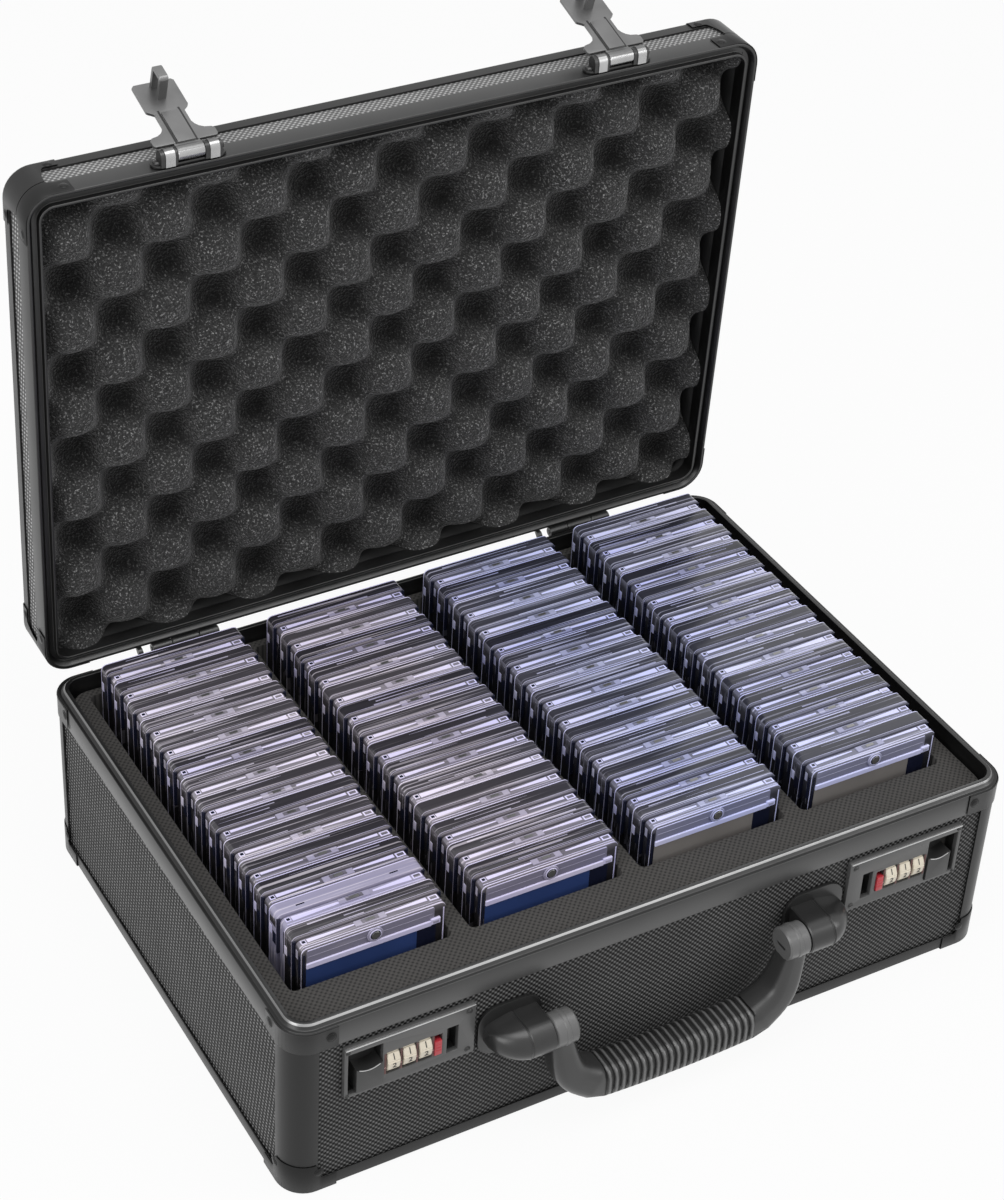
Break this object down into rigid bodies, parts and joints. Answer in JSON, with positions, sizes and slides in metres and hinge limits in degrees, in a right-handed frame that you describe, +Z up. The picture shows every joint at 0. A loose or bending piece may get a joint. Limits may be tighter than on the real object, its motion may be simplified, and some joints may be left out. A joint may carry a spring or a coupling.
{
  "type": "graded card storage case",
  "caption": "Aluminium-framed storage case standing open, with combination locks, hasps, a carry handle, egg-crate lid foam and a foam insert holding rows of clear card holders.",
  "frame": {"origin": "middle of the rectangle on which the closed case's base stands, in the plane of its corner caps' undersides", "axes": "+X to the case's right seen from the locks, +Y towards the hinges, +Z up"},
  "size_m": [0.4022, 0.3445, 0.4233],
  "materials": {
    "frame": "black satin anodised",
    "sheet": "black satin",
    "panel": "black embossed dots",
    "foam": "matte black foam",
    "holder": "clear polished plastic",
    "plastic": "black satin",
    "steel": "black nickel",
    "wheel": "cream",
    "lever": "red"
  },
  "bodies": {
    "base": {"base_bottom_frame": "frame", "base_rim_frame": "frame", "base_post_front_left": "frame", "base_post_front_right": "frame", "base_post_rear_right": "frame", "base_post_rear_left": "frame", "base_cap_front_left": "sheet", "base_cap_front_right": "sheet", "base_cap_rear_right": "sheet", "base_cap_rear_left": "sheet", "base_rim_corner_front_left": "sheet", "base_rim_corner_front_right": "sheet", "base_rim_corner_rear_right": "sheet", "base_rim_corner_rear_left": "sheet", "base_floor": "panel", "base_panel_front": "panel", "base_panel_back": "panel", "base_panel_left": "panel", "base_panel_right": "panel", "base_foam": "foam", "hinge_base_leaf_left": "steel", "hinge_base_leaf_right": "steel", "lock_plate_left": "plastic", "lock_plate_right": "plastic", "handle_boss_left": "plastic", "handle_boss_right": "plastic"},
    "lid": {"lid_rim_frame": "frame", "lid_wall": "panel", "lid_outer_frame": "frame", "lid_cap_front_left": "sheet", "lid_cap_front_right": "sheet", "lid_cap_rear_right": "sheet", "lid_cap_rear_left": "sheet", "lid_rim_corner_front_left": "sheet", "lid_rim_corner_front_right": "sheet", "lid_rim_corner_rear_right": "sheet", "lid_rim_corner_rear_left": "sheet", "lid_panel": "panel", "lid_foam": "foam", "hinge_lid_leaf_left": "steel", "hinge_lid_leaf_right": "steel", "hasp_bracket_left": "steel", "hasp_bracket_right": "steel"},
    "left_hasp": {"hasp_strap_left": "steel"},
    "right_hasp": {"hasp_strap_right": "steel"},
    "handle": {"handle_grip": "plastic"},
    "left_slide": {"lock_slide_left": "plastic"},
    "right_slide": {"lock_slide_right": "plastic"},
    "left_lever": {"lock_lever_left": "lever"},
    "right_lever": {"lock_lever_right": "lever"},
    "left_wheel_1": {"lock_wheel_left_1": "wheel"},
    "left_wheel_2": {"lock_wheel_left_2": "wheel"},
    "left_wheel_3": {"lock_wheel_left_3": "wheel"},
    "right_wheel_1": {"lock_wheel_right_1": "wheel"},
    "right_wheel_2": {"lock_wheel_right_2": "wheel"},
    "right_wheel_3": {"lock_wheel_right_3": "wheel"},
    "row_1": {"card_row_1": "holder"},
    "row_2": {"card_row_2": "holder"},
    "row_3": {"card_row_3": "holder"},
    "row_4": {"card_row_4": "holder"}
  },
  "joints": [
    {"name": "lid_hinge", "type": "hinge", "parent": "base", "child": "lid", "pos_m": [0, 0.1442, 0.1054], "axis": [-1, 0, 0], "range_deg": [-88, 0]},
    {"name": "left_hasp_hinge", "type": "hinge", "parent": "lid", "child": "left_hasp", "pos_m": [-0.1171, 0.13765, 0.39605], "axis": [-1, 0, 0], "range_deg": [-165, 0]},
    {"name": "right_hasp_hinge", "type": "hinge", "parent": "lid", "child": "right_hasp", "pos_m": [0.1171, 0.13765, 0.39605], "axis": [-1, 0, 0], "range_deg": [-165, 0]},
    {"name": "handle_pivot", "type": "hinge", "parent": "base", "child": "handle", "pos_m": [0, -0.154, 0.065], "axis": [-1, 0, 0], "range_deg": [0, 100]},
    {"name": "left_thumb_slide", "type": "slide", "parent": "base", "child": "left_slide", "axis": [-1, 0, 0], "range_m": [0, 0.0035], "stiffness_N_per_m": 300},
    {"name": "right_thumb_slide", "type": "slide", "parent": "base", "child": "right_slide", "axis": [1, 0, 0], "range_m": [0, 0.0035], "stiffness_N_per_m": 300},
    {"name": "left_reset_lever", "type": "slide", "parent": "base", "child": "left_lever", "axis": [0, 0, 1], "range_m": [0, 0.003]},
    {"name": "right_reset_lever", "type": "slide", "parent": "base", "child": "right_lever", "axis": [0, 0, 1], "range_m": [0, 0.003]},
    {"name": "left_wheel_1_spin", "type": "hinge", "parent": "base", "child": "left_wheel_1", "pos_m": [-0.1481, -0.1363, 0.0704], "axis": [1, 0, 0], "continuous": true},
    {"name": "left_wheel_2_spin", "type": "hinge", "parent": "base", "child": "left_wheel_2", "pos_m": [-0.1398, -0.1363, 0.0704], "axis": [1, 0, 0], "continuous": true},
    {"name": "left_wheel_3_spin", "type": "hinge", "parent": "base", "child": "left_wheel_3", "pos_m": [-0.1315, -0.1363, 0.0704], "axis": [1, 0, 0], "continuous": true},
    {"name": "right_wheel_1_spin", "type": "hinge", "parent": "base", "child": "right_wheel_1", "pos_m": [0.1481, -0.1363, 0.0704], "axis": [1, 0, 0], "continuous": true},
    {"name": "right_wheel_2_spin", "type": "hinge", "parent": "base", "child": "right_wheel_2", "pos_m": [0.1398, -0.1363, 0.0704], "axis": [1, 0, 0], "continuous": true},
    {"name": "right_wheel_3_spin", "type": "hinge", "parent": "base", "child": "right_wheel_3", "pos_m": [0.1315, -0.1363, 0.0704], "axis": [1, 0, 0], "continuous": true},
    {"name": "row_1_lift", "type": "slide", "parent": "base", "child": "row_1", "axis": [0, 0, 1], "range_m": [0, 0.12]},
    {"name": "row_2_lift", "type": "slide", "parent": "base", "child": "row_2", "axis": [0, 0, 1], "range_m": [0, 0.12]},
    {"name": "row_3_lift", "type": "slide", "parent": "base", "child": "row_3", "axis": [0, 0, 1], "range_m": [0, 0.12]},
    {"name": "row_4_lift", "type": "slide", "parent": "base", "child": "row_4", "axis": [0, 0, 1], "range_m": [0, 0.12]}
  ]
}
